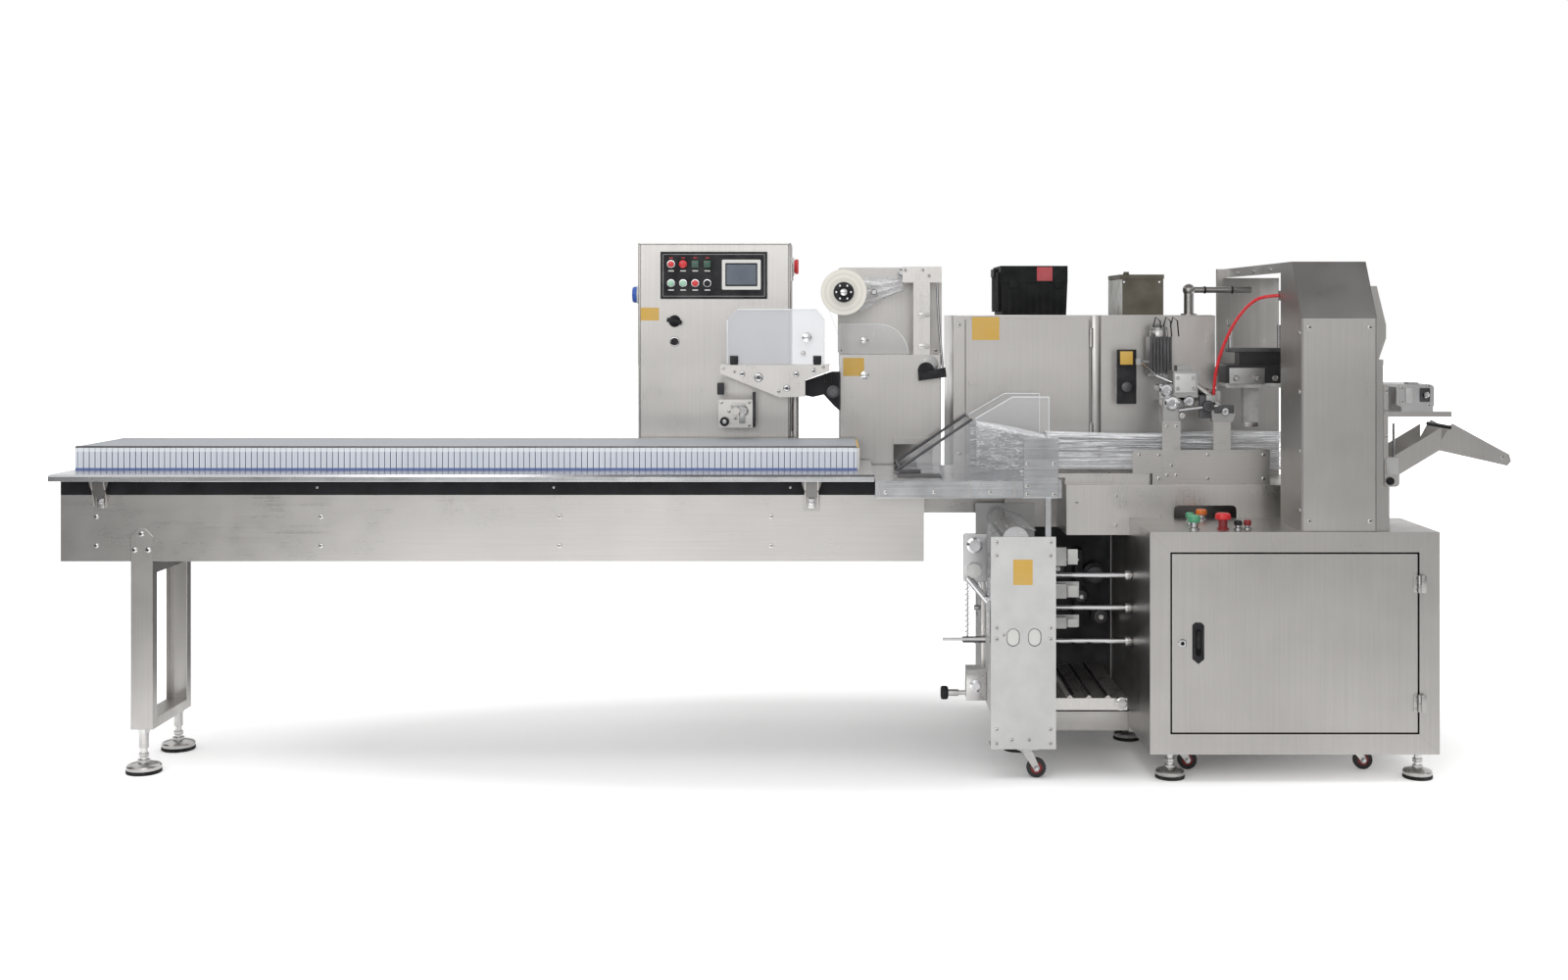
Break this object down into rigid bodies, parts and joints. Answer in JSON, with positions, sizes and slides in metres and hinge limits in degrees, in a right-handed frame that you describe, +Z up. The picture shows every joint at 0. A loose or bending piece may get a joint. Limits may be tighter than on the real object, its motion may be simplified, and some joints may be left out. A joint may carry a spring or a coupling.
{
  "type": "horizontal flow wrapper",
  "caption": "Stainless horizontal flow wrapper with a long infeed conveyor, forming box, film stand, centre seal, end seal housing and outfeed chute.",
  "frame": {"origin": "middle of the machine's length and depth, on the floor", "axes": "+X along the product's travel, from infeed to outfeed; +Y from the operator side to the back; +Z up"},
  "size_m": [4.341, 1.012, 1.566],
  "materials": {
    "brushed_stainless": "satin",
    "bright_edge": "polished",
    "black_paint": "satin",
    "slat_plastic": "matte",
    "cover_glass": "gloss",
    "clear_acrylic": "gloss",
    "zinc": "satin",
    "black_plastic": "matte",
    "film_roll": "gloss",
    "clear_film": "gloss",
    "light_aluminium": "satin",
    "roller_steel": "polished",
    "caster_zinc": "satin",
    "wheel_plastic": "matte",
    "controls": "gloss",
    "galvanised": "satin",
    "hose_red": "gloss",
    "mechanism": "satin"
  },
  "bodies": {
    "base": {"infeed_bed": "brushed_stainless", "table_rails": "black_paint", "infeed_table": "bright_edge", "table_brackets": "brushed_stainless", "slat_walls": "slat_plastic", "infeed_cover": "cover_glass", "infeed_leg_frame": "brushed_stainless", "levelling_feet": "zinc", "carrier_beam": "brushed_stainless", "control_box": "brushed_stainless", "control_panel": "black_plastic", "box_controls": "controls", "guide_unit": "brushed_stainless", "guide_drive": "black_plastic", "stand_box": "brushed_stainless", "stand_plate": "brushed_stainless", "stand_rail": "brushed_stainless", "stand_guard": "clear_acrylic", "stand_lever": "black_plastic", "forming_table": "bright_edge", "former_box": "clear_acrylic", "former_bars": "black_paint", "film_tube": "clear_film", "lower_unit_frame": "light_aluminium", "guide_rods": "roller_steel", "film_tray": "brushed_stainless", "cabinet_shell": "brushed_stainless", "cabinet_frame": "brushed_stainless", "top_buttons": "controls", "main_base": "brushed_stainless", "bay_frame": "brushed_stainless", "rear_housing": "brushed_stainless", "tool_case": "black_plastic", "junction_box": "galvanised", "conduit": "zinc", "sealing_deck": "brushed_stainless", "seal_plates": "brushed_stainless", "seal_head": "mechanism", "seal_cover": "brushed_stainless", "seal_sides": "brushed_stainless", "seal_roof": "brushed_stainless", "jaw_head": "mechanism", "outfeed_frame": "brushed_stainless", "outfeed_head": "light_aluminium", "chute": "brushed_stainless", "air_hose": "hose_red"},
    "door": {"cabinet_door": "brushed_stainless", "door_fittings": "black_plastic"},
    "guide_cover_body": {"guide_cover": "clear_acrylic"},
    "reel": {"film_reel": "film_roll"},
    "dancer_roller": {"stand_roller": "roller_steel"},
    "top_roller": {"lower_roller_top": "roller_steel"},
    "mid_roller": {"lower_roller_mid": "roller_steel"},
    "fork_unit": {"caster_fork_unit": "caster_zinc"},
    "wheel_unit": {"caster_wheel_unit": "wheel_plastic"},
    "fork_left": {"caster_fork_left": "caster_zinc"},
    "wheel_left": {"caster_wheel_left": "wheel_plastic"},
    "fork_right": {"caster_fork_right": "caster_zinc"},
    "wheel_right": {"caster_wheel_right": "wheel_plastic"}
  },
  "joints": [
    {"name": "cabinet_door_hinge", "type": "hinge", "parent": "base", "child": "door", "pos_m": [1.767, -0.502, 0.4], "axis": [0, 0, 1], "range_deg": [0, 110]},
    {"name": "guide_cover_hinge", "type": "hinge", "parent": "base", "child": "guide_cover_body", "pos_m": [-0.0855, 0.017, 1.1843], "axis": [1, 0, 0], "range_deg": [0, 90]},
    {"name": "film_reel_spin", "type": "hinge", "parent": "base", "child": "reel", "pos_m": [0.1285, 0.091, 1.408], "axis": [0, 1, 0], "continuous": true},
    {"name": "dancer_roller_spin", "type": "hinge", "parent": "base", "child": "dancer_roller", "pos_m": [0.3325, 0.143, 1.462], "axis": [0, 1, 0], "continuous": true},
    {"name": "top_roller_spin", "type": "hinge", "parent": "base", "child": "top_roller", "pos_m": [0.6195, -0.199, 0.69], "axis": [0, 1, 0], "continuous": true},
    {"name": "mid_roller_spin", "type": "hinge", "parent": "base", "child": "mid_roller", "pos_m": [0.5645, -0.199, 0.5], "axis": [0, 1, 0], "continuous": true},
    {"name": "caster_swivel_unit", "type": "hinge", "parent": "base", "child": "fork_unit", "pos_m": [0.6545, -0.43, 0.079], "axis": [0, 0, 1], "continuous": true},
    {"name": "caster_roll_unit", "type": "hinge", "parent": "fork_unit", "child": "wheel_unit", "pos_m": [0.6815, -0.43, 0.0286], "axis": [0, 1, 0], "continuous": true},
    {"name": "caster_swivel_left", "type": "hinge", "parent": "base", "child": "fork_left", "pos_m": [1.1095, -0.339, 0.071], "axis": [0, 0, 1], "continuous": true},
    {"name": "caster_roll_left", "type": "hinge", "parent": "fork_left", "child": "wheel_left", "pos_m": [1.1365, -0.339, 0.0286], "axis": [0, 1, 0], "continuous": true},
    {"name": "caster_swivel_right", "type": "hinge", "parent": "base", "child": "fork_right", "pos_m": [1.6265, -0.339, 0.071], "axis": [0, 0, 1], "continuous": true},
    {"name": "caster_roll_right", "type": "hinge", "parent": "fork_right", "child": "wheel_right", "pos_m": [1.6535, -0.339, 0.0286], "axis": [0, 1, 0], "continuous": true}
  ]
}
